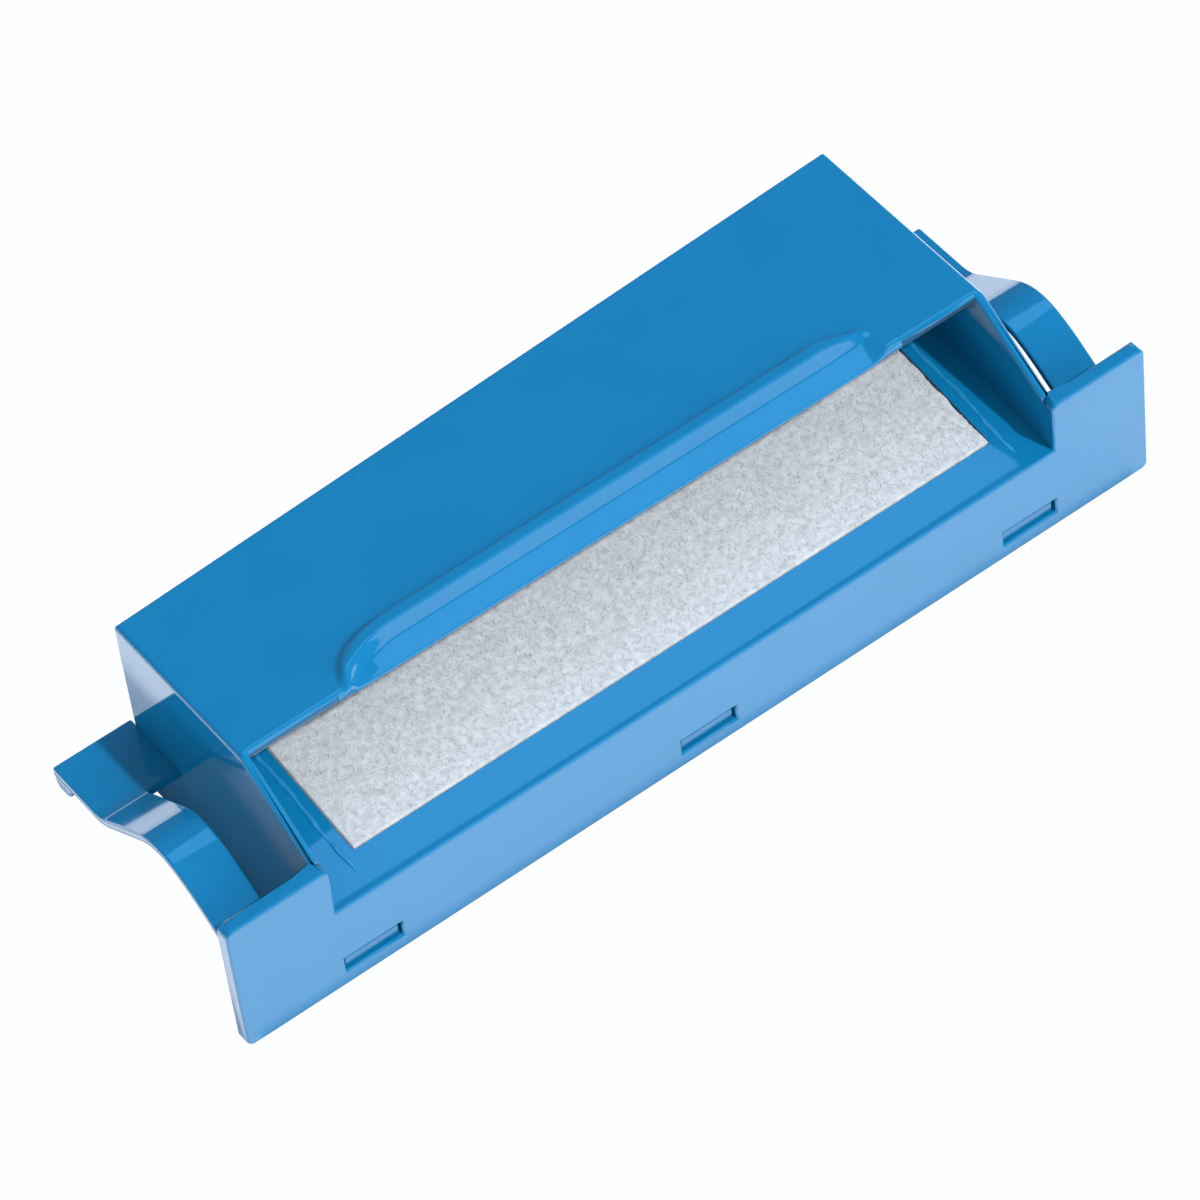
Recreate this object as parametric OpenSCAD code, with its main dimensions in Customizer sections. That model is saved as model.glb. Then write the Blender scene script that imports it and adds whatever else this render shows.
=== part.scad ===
// Slide-in filter cassette: a glossy blue moulded hood over a fibre pad, closed from below by a
// clip-in grid. Millimetres. +X runs along the length, +Y from the front plate to the back, +Z up.
// The origin is the centre of the footprint, at the height of the plate's lower edge.

/* [Front plate] */
// Length of the front plate, the longest size of the cassette
plate_length = 165; // [160:1:172]
// Thickness of the front plate
plate_thickness = 2.4; // [2:0.1:2.6]
// Height of the long sill between the two ears
sill_height = 16.5; // [16:0.1:17]
// Height of the two ears
ear_height = 26.2; // [24:0.1:28]
// Length of each ear
ear_length = 17.5; // [16.5:0.1:17.5]
// Corner radius of the plate
plate_corner = 1.2; // [0.5:0.1:2]

/* [Latch windows] */
// Distance from the middle window to each of the other two
latch_pitch = 60; // [40:1:60]
// Length of a window
latch_length = 10; // [9:0.5:14]
// Height of a window
latch_height = 3; // [3:0.1:3.4]
// Height of a window's lower edge
latch_bottom = 2.7; // [2.4:0.1:3]

/* [Hood] */
// Length over the two end walls
hood_length = 133; // [132:0.5:133]
// Thickness of the end walls, the rear wall and the window panel
wall = 1.5; // [1.2:0.1:1.8]
// Height of the roof's top face
hood_height = 36.2; // [34:0.1:40]
// Thickness of the roof
roof_thickness = 2; // [1.8:0.1:2.4]
// Distance from the plate's front face to the roof's front edge
mouth_depth = 17.4; // [16:0.1:18]
// Depth of the left end
depth_left = 49; // [48:0.5:55]
// Depth of the right end
depth_right = 55; // [52:0.5:60]

/* [Finger lip] */
// Reach of the lip to the left of the middle
lip_left = 48; // [30:0.5:52]
// Reach of the lip to the right of the middle
lip_right = 49.5; // [30:0.5:52]
// Distance from the roof's front edge to the back of the lip
lip_depth = 8.3; // [8:0.1:10]
// Height of the lip above the roof
lip_rise = 1.3; // [0.8:0.1:1.6]
// Thickness of the roof's front edge in front of the lip
dish_edge = 0.6; // [0.5:0.1:1]

/* [Filter window] */
// Length of the window that shows the pad
window_length = 115.6; // [90:0.2:116]
// How far the window sits to the right of the middle
window_shift = 0.9; // [0:0.1:1.5]
// Distance from the plate's front face to the window
window_front = 7.1; // [6:0.1:8]
// Distance from the plate's front face to the window's rear edge
window_rear = 44; // [36:0.5:44]
// Rise of the window panel for every millimetre of depth
panel_slope = 0.15; // [0.1:0.01:0.16]

/* [Guide flanges] */
// Reach of the flanges and the spring arms from the middle
flange_reach = 80; // [78:0.5:81]
// Thickness of the flanges and the spring arms
sheet = 1.4; // [1.2:0.1:1.6]
// Height of the flange's flat top
flange_top = 13.3; // [12.5:0.1:14]
// Width of the slot between the end wall and the spring arm
slot_width = 5.5; // [5:0.1:6]
// Distance from the plate's front face to the root of the spring arm
arm_root = 38; // [36:0.5:40]
// Height of the spring arm's hump
hump_height = 22.9; // [21:0.1:24]
// Distance from the plate's front face to the flange's rear edge
flange_rear = 50.5; // [49:0.5:52]

/* [Pad and grid] */
// Thickness of the pad under the panel
pad_thickness = 5; // [4:0.5:5]
// Thickness of the backing net
net_thickness = 0.3; // [0.2:0.1:0.5]
// Thickness of the grid
grid_thickness = 1.6; // [1.4:0.1:1.8]
// Number of cells along the grid
grid_columns = 8; // [4:1:10]
// Thickness of the grid's ribs
rib = 1.8; // [1.4:0.1:2.4]

/* [Hidden] */
$fn = 48;

shell_blue = [0.11, 0.49, 0.78];
grid_blue = [0.13, 0.42, 0.68];
pad_white = [0.86, 0.89, 0.91];
net_grey = [0.72, 0.75, 0.77];
bead_blue = [0.22, 0.58, 0.84];

half_plate = plate_length / 2;
half_hood = hood_length / 2;
half_inside = half_hood - wall;
roof_under = hood_height - roof_thickness;
deepest = max(depth_left, depth_right);
lip_top = hood_height + lip_rise;
slack = 0.3;                    // space round a clip or a tab
running_gap = 0.05;             // space round the bending root of an arm or a catch
past = 2;                       // how far a cutter runs past the face that it cuts
window_corner = 0.6;            // corner radius of the window and of the pad in it
steps = 10;                     // flats that stand for the bend of an arm's hump

// ---- deck: the line of the window panel's top face, from the sill to the rear wall ----
function deck_height(y) = sill_height + panel_slope * (y - plate_thickness);
deck_line = [[plate_thickness, sill_height], [deepest + past, deck_height(deepest + past)]];
function lowered(line, drop) = [for (p = line) [p[0], p[1] - drop]];
function reversed(line) = [for (i = [len(line) - 1 : -1 : 0]) line[i]];
pad_under = wall + pad_thickness;
net_under = pad_under + net_thickness;
grid_under = net_under + grid_thickness;

// ---- spring arm: its middle line, root first, with a cubic Bezier curve for the hump ----
function bez(p, t) = pow(1 - t, 3) * p[0] + 3 * pow(1 - t, 2) * t * p[1]
    + 3 * (1 - t) * t * t * p[2] + t * t * t * p[3];
function left_of(v) = [-v[1], v[0]] / norm(v);
root = [arm_root, flange_top - sheet / 2];
rise = 0.67;                    // slope of the long ramp
fall = 0.6;                     // slope of the short front ramp
hump_back = [26.4, hump_height - 2.5];
hump_front = [11.8, hump_height - 4];
pull = 5.2;
hump = [hump_back, hump_back + pull * [-1, rise], hump_front + pull * [1, fall], hump_front];
arm_tip = [plate_thickness + 0.8, hump_height - 9.5];
arm_line = concat([root], [for (i = [0 : steps]) bez(hump, i / steps)], [arm_tip]);
function arm_way(i) = i == 0 ? arm_line[1] - arm_line[0]
    : i == len(arm_line) - 1 ? arm_line[i] - arm_line[i - 1]
    : arm_line[i + 1] - arm_line[i - 1];
function arm_side(offset) = [for (i = [0 : len(arm_line) - 1]) arm_line[i] + offset * left_of(arm_way(i))];
arm_inner = half_hood + slot_width;

// ---- catches and the grid's front rail ----
catch_y = 3.4;
catch_z = 13.2;
catch_root = 0.6;
stem = 1;
catch_length = latch_length - 2 * slack;
rail_front = plate_thickness + 0.2;
rail_rear = 5.9;
rail_wall = 1;
rail_top = sill_height - wall - 0.1;
pad_front = 6;
grid_inset = 0.4;
pad_inset = 1.2;
tab_length = 8;
tab_places = [-40, 0, 40];
tab_top = deck_height(window_rear) - net_under;

// Depth of the body at a place along its length
function rear_at(x) = depth_left + (depth_right - depth_left) * (x + half_hood) / hood_length;

// Every piece is drawn with its front face at zero and moved here to the middle of the footprint
module seat() { translate([0, -deepest / 2, 0]) children(); }
// A Y-Z outline drawn out along X between two places
module along_x(from, to) {
    translate([from, 0, 0]) rotate([90, 0, 90]) linear_extrude(to - from) children();
}
// A rod along X
module rod_x(from, to, y, z, r) {
    translate([from, y, z]) rotate([0, 90, 0]) cylinder(r = r, h = to - from);
}
// An X-Z outline drawn out along Y between two places
module along_y(from, to) {
    translate([0, to, 0]) rotate([90, 0, 0]) linear_extrude(to - from) children();
}
// The inside of the hood in plan, drawn in by an inset, as a tall block
module inside(inset, front) {
    reach = half_inside - inset;
    translate([0, 0, -past]) linear_extrude(hood_height + 2 * past) polygon([
        [-reach, front], [reach, front],
        [reach, rear_at(reach) - wall - inset], [-reach, rear_at(-reach) - wall - inset]]);
}
// The outside of the body in plan, as a tall block
module footprint() {
    translate([0, 0, -past]) linear_extrude(hood_height + 2 * past) polygon([
        [-half_hood, 0], [half_hood, 0], [half_hood, depth_right], [-half_hood, depth_left]]);
}
// A rectangle with round corners
module rounded_box(length, height, r) {
    translate([r, 0]) square([length - 2 * r, height]);
    translate([0, r]) square([length, height - 2 * r]);
    for (x = [r, length - r], y = [r, height - r]) translate([x, y]) circle(r);
}
// A sheet that follows the deck between two depths under it
module deck_sheet(from, to) {
    along_x(-half_hood, half_hood)
        polygon(concat(lowered(deck_line, from), reversed(lowered(deck_line, to))));
}

// ---- front plate: a long bar with an ear at each end and three latch windows ----
module front_plate() color(shell_blue) seat() along_y(0, plate_thickness) difference() {
    union() {
        translate([-half_plate, 0]) rounded_box(plate_length, sill_height, plate_corner);
        for (x = [-half_plate, half_plate - ear_length])
            translate([x, 0]) rounded_box(ear_length, ear_height, plate_corner);
        for (x = [-half_plate + ear_length - plate_corner, half_plate - ear_length])
            translate([x, 0]) square([plate_corner, sill_height]);
    }
    for (x = [-latch_pitch, 0, latch_pitch])
        translate([x - latch_length / 2, latch_bottom]) square([latch_length, latch_height]);
}

// ---- roof: a flat sheet with a low dish in its front edge and a raised finger lip round the dish ----
lip_slope = 1.4;                // width of the lip's outer slope
lip_crest = 1.6;                // width of its flat top
dish_step = 1.6;                // width of the steeper slope inside the lip
dish_corner = lip_depth - lip_slope - lip_crest - dish_step;
dish_floor = roof_under + 1.3;  // height of the dish at the foot of that slope
dish_turn = lip_depth - lip_left;
// Heights of the lip over the distance from the roof's front edge, or from the turn of its left end
module lip_block() polygon([
    [0, roof_under], [lip_depth, roof_under], [lip_depth, hood_height],
    [lip_depth - lip_slope, lip_top], [0, lip_top]]);
module dish_block() polygon([
    [-past, roof_under + dish_edge], [0, roof_under + dish_edge], [dish_corner, dish_floor],
    [dish_corner + dish_step, lip_top], [dish_corner + dish_step, lip_top + past], [-past, lip_top + past]]);
module lip_straight() difference() {
    intersection() {
        along_x(dish_turn, lip_right) translate([mouth_depth, 0]) lip_block();
        along_y(mouth_depth, mouth_depth + lip_depth) polygon([
            [dish_turn, roof_under], [lip_right, roof_under], [lip_right, hood_height],
            [lip_right - lip_slope, lip_top], [dish_turn, lip_top]]);
    }
    intersection() {
        along_x(dish_turn - past, lip_right) translate([mouth_depth, 0]) dish_block();
        along_y(mouth_depth - past, mouth_depth + lip_depth) polygon([
            [dish_turn - past, roof_under], [lip_right - lip_slope - lip_crest - dish_step, roof_under],
            [lip_right - lip_slope - lip_crest, lip_top], [lip_right - lip_slope - lip_crest, lip_top + past],
            [dish_turn - past, lip_top + past]]);
    }
}
module lip_turn() translate([dish_turn, mouth_depth, 0]) rotate([0, 0, 90]) rotate_extrude(angle = 90)
    difference() {
        lip_block();
        dish_block();
    }
module hood_roof() color(shell_blue) seat() {
    difference() {
        intersection() {
            footprint();
            translate([-half_hood, mouth_depth, roof_under])
                cube([hood_length, deepest, roof_thickness]);
        }
        translate([0, 0, roof_under - past]) linear_extrude(roof_thickness + 2 * past) {
            translate([dish_turn, mouth_depth - past]) square([lip_right - dish_turn, lip_depth + past]);
            intersection() {
                translate([dish_turn, mouth_depth]) circle(lip_depth);
                translate([-lip_left - past, mouth_depth - past]) square(lip_depth + past * 2);
            }
        }
    }
    lip_straight();
    lip_turn();
}

// ---- end walls: from the deck of the plate up to the roof, with a sloping front edge ----
module end_wall(side) {
    from = side < 0 ? -half_hood : half_inside;
    color(shell_blue) seat() intersection() {
        footprint();
        along_x(from, from + wall) polygon([
            [plate_thickness, 0], [deepest + past, 0], [deepest + past, roof_under],
            [mouth_depth, roof_under], [mouth_depth, hood_height],
            [plate_thickness, ear_height]]);
    }
}
module left_end_wall() end_wall(-1);
module right_end_wall() end_wall(1);

// ---- rear wall: closes the hood and takes the grid's three tabs ----
module rear_wall() color(shell_blue) seat() difference() {
    linear_extrude(roof_under) polygon([
        [-half_inside, rear_at(-half_inside) - wall], [half_inside, rear_at(half_inside) - wall],
        [half_inside, rear_at(half_inside)], [-half_inside, rear_at(-half_inside)]]);
    for (x = tab_places)
        translate([x - tab_length / 2 - slack, depth_left - past * 2, tab_top - grid_thickness - slack])
            cube([tab_length + 2 * slack, deepest, grid_thickness + 2 * slack]);
}

// ---- window panel: a flat deck that rises to the back, with the long window for the pad ----
module window_panel() color(shell_blue) seat() difference() {
    intersection() {
        inside(0, plate_thickness);
        deck_sheet(0, wall);
    }
    translate([window_shift - window_length / 2, window_front, 0]) linear_extrude(hood_height)
        rounded_box(window_length, window_rear - window_front, window_corner);
}

// ---- guide flange: a flat shelf on the end wall with a down-turned hook at its outer corner ----
module guide_flange() {
    hook = sheet;
    difference() {
        union() {
            translate([half_hood, arm_root - 1, flange_top - sheet])
                cube([slot_width - slack, flange_rear - arm_root + 1, sheet]);
            translate([half_hood, arm_root, flange_top - sheet])
                cube([flange_reach - half_hood, flange_rear - arm_root, sheet]);
            along_x(flange_reach - hook, flange_reach) polygon([
                [flange_rear, flange_top - sheet], [flange_rear - 5, flange_top - sheet],
                [flange_rear - 3.6, flange_top - sheet - 2.4], [flange_rear - 1, flange_top - sheet - 2.6],
                [flange_rear, flange_top - sheet - 1.4]]);
        }
        rod_x(arm_inner - slack, flange_reach + past, root[0], root[1], sheet / 2 + running_gap);
    }
}
module right_guide_flange() color(shell_blue) seat() guide_flange();
module left_guide_flange() color(shell_blue) seat() mirror([1, 0, 0]) guide_flange();

// ---- spring arm: a humped strip that bends at its root and clicks behind a rail ----
module spring_arm() {
    rod_x(arm_inner, flange_reach, root[0], root[1], sheet / 2);
    along_x(arm_inner, flange_reach)
        polygon(concat(arm_side(sheet / 2), reversed(arm_side(-sheet / 2))));
}
module right_spring_arm() color(shell_blue) seat() spring_arm();
module left_spring_arm() color(shell_blue) seat() mirror([1, 0, 0]) spring_arm();

// ---- filter pad: the fibre mat, held under the panel and standing up into its window ----
module filter_pad() color(pad_white) seat() {
    intersection() {
        inside(pad_inset, pad_front);
        deck_sheet(wall, pad_under);
    }
    intersection() {
        deck_sheet(slack / 2, pad_under - pad_thickness / 2);
        translate([window_shift - window_length / 2 + slack, window_front + slack, 0])
            linear_extrude(hood_height) rounded_box(
                window_length - 2 * slack, window_rear - window_front - 2 * slack, window_corner);
    }
}

// ---- backing net: the thin scrim that keeps loose fibre off the grid ----
module backing_net() color(net_grey) seat() intersection() {
    inside(pad_inset, pad_front);
    deck_sheet(pad_under, net_under);
}

// ---- pad grid: the clip-in frame under the pad, with a front rail, ribs and three rear tabs ----
module grid_cells() {
    span = 2 * (half_inside - grid_inset) - 2 * rib;
    column = span / grid_columns;
    rows = [[8, 19.5], [19.5 + rib, 31.5], [31.5 + rib, 44]];
    for (i = [0 : grid_columns - 1], row = rows)
        translate([-span / 2 + i * column + rib / 2, row[0], 0])
            cube([column - rib, row[1] - row[0], deck_height(window_rear)]);
}
module pad_grid() color(grid_blue) seat() {
    difference() {
        intersection() {
            inside(grid_inset, rail_rear - rail_wall);
            deck_sheet(net_under, grid_under);
        }
        grid_cells();
    }
    difference() {
        along_x(-half_inside + grid_inset, half_inside - grid_inset) polygon([
            [rail_front, catch_z], [rail_rear - rail_wall, catch_z],
            [rail_rear - rail_wall, sill_height - net_under - 1], [rail_rear, sill_height - net_under - 1],
            [rail_rear, rail_top], [rail_front, rail_top]]);
        for (x = [-latch_pitch, 0, latch_pitch])
            rod_x(x - catch_length / 2 - slack, x + catch_length / 2 + slack, catch_y, catch_z,
                catch_root + running_gap);
    }
    for (x = tab_places)
        translate([x - tab_length / 2, window_rear, tab_top - grid_thickness])
            cube([tab_length, rear_at(x) - window_rear - slack, grid_thickness]);
}

// ---- catch: a springy finger under the front rail, its nose in a latch window ----
module catch(x) {
    nose_face = 0.8;
    nose_low = latch_bottom + slack;
    color(grid_blue) seat() {
        rod_x(x - catch_length / 2, x + catch_length / 2, catch_y, catch_z, catch_root);
        along_x(x - catch_length / 2, x + catch_length / 2) polygon([
            [catch_y - stem / 2, catch_z], [catch_y - stem / 2, nose_low + 2.4],
            [nose_face, nose_low + 1.6], [nose_face, nose_low],
            [catch_y + stem / 2, nose_low], [catch_y + stem / 2, catch_z]]);
    }
}
module left_catch() catch(-latch_pitch);
module middle_catch() catch(0);
module right_catch() catch(latch_pitch);

// ---- glue bead: a line of glue on the panel along each end of the window ----
module glue_bead(side) {
    bead = 1.2;
    bead_rise = 0.45;
    bead_gap = 1.2;
    bead_front = 3.5;
    bead_length = 36.5;
    from = window_shift + (side < 0 ? -window_length / 2 - bead_gap - bead : window_length / 2 + bead_gap);
    color(bead_blue) seat() intersection() {
        translate([from, bead_front, 0]) cube([bead, bead_length, hood_height]);
        along_x(from, from + bead) polygon(concat(lowered(deck_line, -bead_rise), reversed(deck_line)));
    }
}
module left_glue_bead() glue_bead(-1);
module right_glue_bead() glue_bead(1);

front_plate();
hood_roof();
left_end_wall();
right_end_wall();
rear_wall();
window_panel();
left_guide_flange();
right_guide_flange();
left_spring_arm();
right_spring_arm();
filter_pad();
backing_net();
pad_grid();
left_catch();
middle_catch();
right_catch();
left_glue_bead();
right_glue_bead();
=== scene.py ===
import math

import bmesh
import bpy
from mathutils import Matrix, Vector


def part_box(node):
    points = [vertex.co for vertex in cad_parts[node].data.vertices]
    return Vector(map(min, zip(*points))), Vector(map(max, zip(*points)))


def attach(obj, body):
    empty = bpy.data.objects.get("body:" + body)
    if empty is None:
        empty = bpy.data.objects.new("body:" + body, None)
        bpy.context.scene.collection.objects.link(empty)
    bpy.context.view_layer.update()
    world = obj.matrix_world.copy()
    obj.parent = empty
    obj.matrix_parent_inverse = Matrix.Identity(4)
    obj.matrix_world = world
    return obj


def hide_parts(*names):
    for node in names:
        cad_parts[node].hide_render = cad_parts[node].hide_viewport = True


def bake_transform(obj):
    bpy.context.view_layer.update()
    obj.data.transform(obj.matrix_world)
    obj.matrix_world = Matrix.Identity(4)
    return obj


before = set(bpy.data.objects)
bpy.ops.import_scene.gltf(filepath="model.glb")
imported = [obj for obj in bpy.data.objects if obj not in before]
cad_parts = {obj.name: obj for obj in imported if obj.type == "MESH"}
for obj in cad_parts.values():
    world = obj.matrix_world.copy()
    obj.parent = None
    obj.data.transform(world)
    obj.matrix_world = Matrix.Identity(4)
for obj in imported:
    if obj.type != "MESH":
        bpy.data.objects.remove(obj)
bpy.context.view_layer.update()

# ---------------------------------------------------------------------------------------------
# The shell: one injection moulding in glossy blue plastic, with the front plate, both end walls,
# the rear wall, the window panel and the roof. The mould leaves every outer edge rounded.
# ---------------------------------------------------------------------------------------------
MM = 0.001
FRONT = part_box("front_plate")[0].y / MM          # the front face, from which depths are counted
HALF_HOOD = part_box("right_end_wall")[1].x / MM
ROOF_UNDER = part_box("hood_roof")[0].z / MM
ROOF_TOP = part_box("right_end_wall")[1].z / MM
LIP_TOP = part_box("hood_roof")[1].z / MM
EAR_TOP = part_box("front_plate")[1].z / MM
PLATE = 2.4                                      # thickness of the front plate
MOUTH = 17.4                                     # depth of the roof's front edge
DEPTH_LEFT = 49.0
DEPTH_RIGHT = 55.0
WALL = 1.5
SILL = 16.5
PANEL_SLOPE = 0.15                               # the window panel rises to the back
WINDOW_LEFT = -56.9
WINDOW_RIGHT = 58.7
WINDOW_FRONT = 7.1
WINDOW_REAR = 44.0
LIP_SPACE = (-49.5, 51.5, 28.5)                  # left, right and rear limit of the lip's own piece
ROOF_EDGE = 0.9                                  # radius of the roof's outer edges
WALL_EDGE = 0.68                                 # radius of the end walls' sloping front edges
SHELL_EDGE = 0.42                                # radius of the other edges
WINDOW_EDGE = 0.15                               # radius round the window
EAR_CORNER = 81.2                                # where the ears' rounded outer corners begin
REAR_FACE = 45.0                                 # only the rear wall lies further back
SHELL_NODES = ["front_plate", "left_end_wall", "right_end_wall", "rear_wall", "window_panel"]


def new_piece(name, points, faces):
    """A mesh object from points in millimetres, with x, depth from the front face and height."""
    mesh = bpy.data.meshes.new(name)
    mesh.from_pydata([(x * MM, (y + FRONT) * MM, z * MM) for x, y, z in points], [], faces)
    mesh.update()
    piece = bpy.data.objects.new(name, mesh)
    bpy.context.scene.collection.objects.link(piece)
    return piece


def clean_copy(node, name):
    """A copy of a CAD node, with its loose triangles merged into flat faces."""
    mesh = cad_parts[node].data.copy()
    mesh.materials.clear()
    work = bmesh.new()
    work.from_mesh(mesh)
    bmesh.ops.remove_doubles(work, verts=work.verts, dist=0.001 * MM)
    bmesh.ops.dissolve_limit(work, angle_limit=math.radians(0.5), verts=work.verts, edges=work.edges)
    work.to_mesh(mesh)
    work.free()
    piece = bpy.data.objects.new(name, mesh)
    bpy.context.scene.collection.objects.link(piece)
    return piece


def finished(piece):
    """Turns the piece's modifiers into plain mesh."""
    graph = bpy.context.evaluated_depsgraph_get()
    mesh = bpy.data.meshes.new_from_object(piece.evaluated_get(graph), depsgraph=graph)
    mesh.name = piece.name
    piece.modifiers.clear()
    piece.data = mesh
    return piece


def unite(piece, others):
    """Joins solids that touch into one solid."""
    for other in others:
        union = piece.modifiers.new("union", "BOOLEAN")
        union.operation = "UNION"
        union.solver = "EXACT"
        union.object = other
        finished(piece)
        bpy.data.objects.remove(other)
    return piece


def tidy_faces(piece):
    work = bmesh.new()
    work.from_mesh(piece.data)
    bmesh.ops.remove_doubles(work, verts=work.verts, dist=0.001 * MM)
    bmesh.ops.dissolve_limit(work, angle_limit=math.radians(0.3), verts=work.verts, edges=work.edges)
    work.to_mesh(piece.data)
    work.free()


def round_edges(piece, radius, weight_of=None, least_angle=28.0, segments=3):
    """Rounds the sharp outer edges; weight_of gives an edge its share of the radius."""
    work = bmesh.new()
    work.from_mesh(piece.data)
    work.normal_update()
    layer = work.edges.layers.float.new("bevel_weight_edge")
    for edge in work.edges:
        sharp = len(edge.link_faces) == 2 and edge.calc_face_angle(0) > math.radians(least_angle)
        if sharp and edge.is_convex:
            ends = [Vector((v.co.x / MM, v.co.y / MM - FRONT, v.co.z / MM)) for v in edge.verts]
            edge[layer] = weight_of(*ends) if weight_of else 1.0
    work.to_mesh(piece.data)
    work.free()
    bevel = piece.modifiers.new("bevel", "BEVEL")
    bevel.width = radius * MM
    bevel.segments = segments
    bevel.limit_method = "WEIGHT"
    bevel.use_clamp_overlap = False
    bevel.miter_outer = "MITER_ARC"
    piece.data.shade_smooth()
    finished(piece)
    piece.data.set_sharp_from_angle(angle=math.radians(35))
    flat_faces = piece.modifiers.new("flat_faces", "WEIGHTED_NORMAL")
    flat_faces.keep_sharp = True
    flat_faces.weight = 80
    return finished(piece)


def near(value, target, slack=0.02):
    return abs(value - target) < slack


def rear_at(x):
    """Depth of the body at a place along its length."""
    return DEPTH_LEFT + (DEPTH_RIGHT - DEPTH_LEFT) * (x + HALF_HOOD) / (2 * HALF_HOOD)


def deck_height(y):
    """Height of the panel's top face at a depth."""
    return SILL + PANEL_SLOPE * (y - PLATE)


def shell_edge_share(a, b):
    """Share of the roof's edge radius that an edge of the shell gets."""
    left, right, rear = LIP_SPACE
    in_lip_gap = all(near(p.x, left) or near(p.x, right) or near(p.y, rear) for p in (a, b))
    if in_lip_gap and all(left - 0.1 < p.x < right + 0.1 and MOUTH - 0.1 < p.y < rear + 0.1 for p in (a, b)):
        return 0.0
    if all(near(p.y, PLATE) and abs(p.x) > EAR_CORNER for p in (a, b)):
        return 0.0                               # the ears' outer corners stay sharp at the back
    if all(near(p.z, ROOF_UNDER) and p.y > REAR_FACE for p in (a, b)):
        return 0.0                               # no seam where the rear wall meets the roof
    if all(near(p.z, ROOF_TOP) for p in (a, b)):
        return 1.0
    if all(near(p.z, ROOF_UNDER) and near(p.y, MOUTH) for p in (a, b)):
        return 0.95
    if all(WINDOW_LEFT - 0.1 < p.x < WINDOW_RIGHT + 0.1
           and WINDOW_FRONT - 0.1 < p.y < WINDOW_REAR + 0.1
           and near(p.z, deck_height(p.y), 0.1) for p in (a, b)):
        return WINDOW_EDGE / ROOF_EDGE
    if min(a.z, b.z) > EAR_TOP - 0.1 and near(a.x, b.x) and abs(a.z - b.z) > 5:
        return WALL_EDGE / ROOF_EDGE
    return SHELL_EDGE / ROOF_EDGE


def roof_slab():
    """The flat roof, with a notch in its front edge for the finger lip."""
    left, right, rear = LIP_SPACE
    plan = [(-HALF_HOOD, MOUTH), (left, MOUTH), (left, rear), (right, rear), (right, MOUTH),
            (HALF_HOOD, MOUTH), (HALF_HOOD, DEPTH_RIGHT), (-HALF_HOOD, DEPTH_LEFT)]
    count = len(plan)
    points = [(x, y, ROOF_UNDER) for x, y in plan] + [(x, y, ROOF_TOP) for x, y in plan]
    sides = [(i, (i + 1) % count, (i + 1) % count + count, i + count) for i in range(count)]
    return new_piece("roof_slab", points, [tuple(range(count))[::-1], tuple(range(count, 2 * count))] + sides)


shell = unite(clean_copy("front_plate", "moulded_shell"),
              [clean_copy(n, n + "_copy") for n in SHELL_NODES[1:]] + [roof_slab()])
tidy_faces(shell)
round_edges(shell, ROOF_EDGE, shell_edge_share)


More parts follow.
